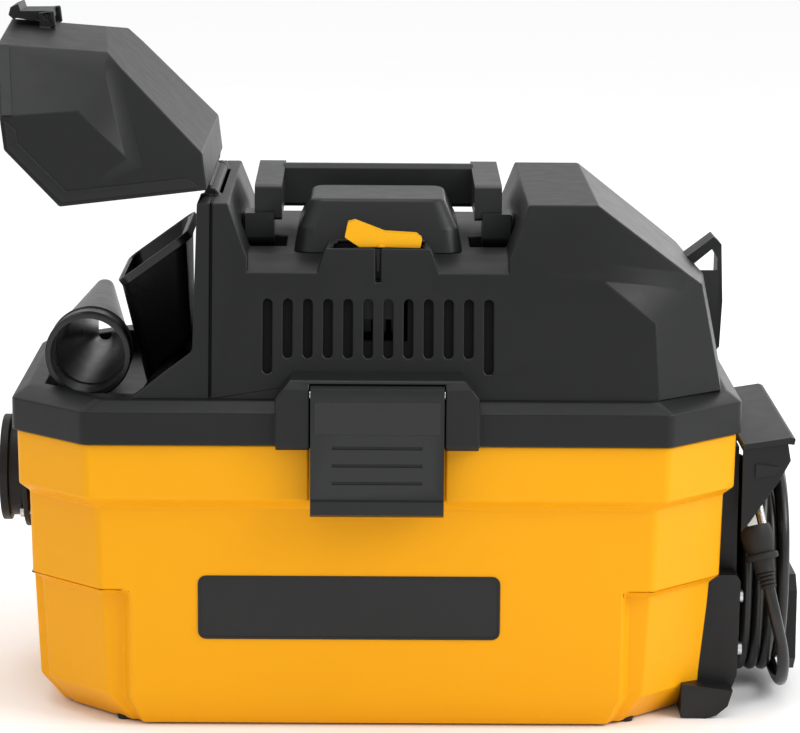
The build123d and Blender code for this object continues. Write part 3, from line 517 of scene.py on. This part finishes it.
def nozzle_rim(paint):
    """The rolled rim round the utility nozzle's mouth."""
    tilt = math.radians(NOZZLE_TILT)
    ahead = Vector((-math.sin(tilt), 0, math.cos(tilt)))
    across = Vector((0, 1, 0))
    over = ahead.cross(across)

    def place(u, v, w):
        return Vector(NOZZLE_MOUTH) + across * u + over * v + ahead * w
    outline = rounded(51.6, 26.6, 9)
    verts, faces = frame_ring(outline, shrink(outline, 2.2), -4.5, 0.6, place)
    piece("nozzle_rim", verts, faces, "head", paint, 0.4)


def tool_rings(paint):
    """The beads round the mouth of the crevice tool's collar."""
    for k, (y, r) in enumerate([(-86.5, 25.6), (-82.0, 25.6), (-61.0, 25.4)]):
        ring("tool_bead_%d" % k, (TOOL_X, y, TOOL_Z), (0, 1, 0), r, 1.0, "head", paint)


def plug_ribs(paint):
    """The flexible ribs of the plug's sleeve, threaded on the cord's last run."""
    end, before = Vector(TAIL[-1]), Vector(TAIL[-2])
    aim = (end - before).normalized()
    names = []
    for k in range(4):
        name = "plug_rib_%d" % k
        ring(name, end - aim * (1.2 + 2.6 * k), aim, 4.4 - 0.2 * k, 1.25, "tank", paint, 28, 8)
        names.append(name)
    return names


FOLDS, FOLD_OUT, FOLD_IN, FOLD_THICK = 72, 73.2, 58.5, 1.4


def upright(outer, inner, low, high):
    """A closed ring about the vertical axis, between two outlines and two heights."""
    return frame_ring(outer, inner, low, high, lambda u, v, w: (u, v, w))


def circle(radius):
    """Points on a circle about (0, 0)."""
    return [(radius * math.cos(math.pi * k / 48), radius * math.sin(math.pi * k / 48)) for k in range(96)]


def pleated_filter(paint, ends):
    """The cartridge: folded paper on an inner sleeve, between two moulded end rings."""
    outer, inner = [], []
    for k in range(2 * FOLDS):
        a = math.pi * k / FOLDS
        r = FOLD_OUT if k % 2 else FOLD_IN
        outer.append((r * math.cos(a), r * math.sin(a)))
        inner.append(((r - FOLD_THICK) * math.cos(a), (r - FOLD_THICK) * math.sin(a)))
    verts, faces = upright(outer, inner, 68.0, 161.5)
    paper = piece("filter_pleats", verts, faces, "head", paint)
    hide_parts("cartridge_filter")
    for name, low, high in (("filter_ring_low", 64.4, 68.4), ("filter_ring_high", 161.2, 165.3)):
        verts, faces = upright(circle(74.8), circle(55), low, high)
        piece(name, verts, faces, "head", ends, 0.6)
    verts, faces = upright(circle(56.6), circle(55.2), 68.2, 161.4)
    piece("filter_core", verts, faces, "head", ends)


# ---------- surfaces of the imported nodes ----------
# How wide the edges of each moulded node are rounded, in millimetres.
ROUNDED = {"tank_shell": 1.1, "head_base": 1.0, "motor_cover": 1.1, "accessory_lid": 1.1,
           "cord_guard": 0.6, "cord_bracket": 1.0, "hose_hook": 0.8, "front_latch": 0.9,
           "rear_latch": 0.9, "centre_cover": 0.8, "carry_handle": 0.6, "utility_nozzle": 0.5,
           "lid_clasp": 0.5, "switch_body": 0.4, "filter_cage": 0.5}
# Nodes that keep the full width even where two edges are close together.
UNCLAMPED = ("tank_shell", "head_base", "motor_cover", "accessory_lid")
# Nodes with narrow flat faces round an opening, which the bevel would otherwise fill across. motor_cover
# has such faces too, but cutting them creases its vented front.
RINGED = ("tank_shell", "head_base", "accessory_lid", "utility_nozzle")
SAME_POINT, SAME_PLANE = 0.00001, 1.0  # metres and degrees


def soften_nodes():
    """Rounds the long edges: equal points joined, flat triangles merged, ringed ones cut, then bevelled."""
    for name, width in ROUNDED.items():
        node = NODES[name]
        node.modifiers.new("weld", "WELD").merge_threshold = SAME_POINT
        merge = node.modifiers.new("merge", "DECIMATE")
        merge.decimate_type = "DISSOLVE"
        merge.angle_limit = math.radians(SAME_PLANE)
        if name in RINGED:
            node.modifiers.new("cut", "TRIANGULATE").min_vertices = 5
        round_edges(node, width, segments=3, clamp=name not in UNCLAMPED)


def finishes():
    """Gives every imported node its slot's material, with a darker one for the motor's can."""
    by_slot = paints()
    for part in frame["record"]["subparts"]:
        node = NODES[part["node"]]
        node.data.materials.clear()
        node.data.materials.append(by_slot[part["material_slot"]])
    can_steel = material("black_steel", (0.02, 0.02, 0.021), 0.5, metal=0.6, bump=0.1)
    NODES["motor_housing"].data.materials[0] = can_steel
    return by_slot


def paints():
    """One material for each of the record's slots."""
    return {
        "yellow_shell": material("yellow_plastic", (0.82, 0.352, 0.0012), 0.42, grain=1400, bump=0.05,
                                 vary=0.025, edge=0.12, spec=0.16),
        "yellow_switch": material("switch_yellow", (0.82, 0.39, 0.0015), 0.30, grain=1500, bump=0.03,
                                  vary=0.03, spec=0.2),
        "black_shell": material("black_plastic", (0.0062, 0.0066, 0.0072), 0.44, grain=1600, bump=0.12,
                                vary=0.12, edge=0.45, spec=0.28),
        "black_grip": material("black_satin", (0.0072, 0.0078, 0.0082), 0.38, grain=1300, bump=0.10,
                               vary=0.12, edge=0.45, spec=0.30),
        "inner_plastic": material("grey_plastic", (0.012, 0.012, 0.013), 0.5, bump=0.08, spec=0.3),
        "tool_plastic": material("tool_plastic", (0.007, 0.007, 0.0075), 0.30, bump=0.05, vary=0.1,
                                 spec=0.45),
        "rubber": material("soft_rubber", (0.012, 0.0115, 0.011), 0.6, bump=0.15, vary=0.1, spec=0.3),
        "steel": material("zinc_steel", (0.62, 0.62, 0.63), 0.35, metal=1.0, bump=0.05),
        "nickel": material("nickel", (0.8, 0.78, 0.72), 0.2, metal=1.0, bump=0.02),
        "lamination": material("lamination", (0.3, 0.29, 0.28), 0.5, metal=0.8, bump=0.2),
        "filter_paper": material("filter_paper", (0.82, 0.79, 0.7), 0.9, grain=2500, bump=0.3),
        "foam": material("foam", (0.008, 0.008, 0.008), 0.95, grain=900, bump=0.9, spec=0.1),
        "float_plastic": material("float_plastic", (0.72, 0.71, 0.67), 0.4),
    }


def details(by_slot):
    """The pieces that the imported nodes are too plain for."""
    label_plate(by_slot["black_grip"])
    latch_panel(-1, "latch_front", by_slot["tool_plastic"])
    latch_panel(1, "latch_rear", by_slot["tool_plastic"])
    lid_trim(by_slot["black_shell"])
    nozzle_rim(by_slot["tool_plastic"])
    tool_rings(by_slot["tool_plastic"])
    pleated_filter(by_slot["filter_paper"], by_slot["inner_plastic"])


camera()
studio()
finish_of = finishes()
soften_nodes()
details(finish_of)
make_cord(plug_ribs(finish_of["rubber"]))
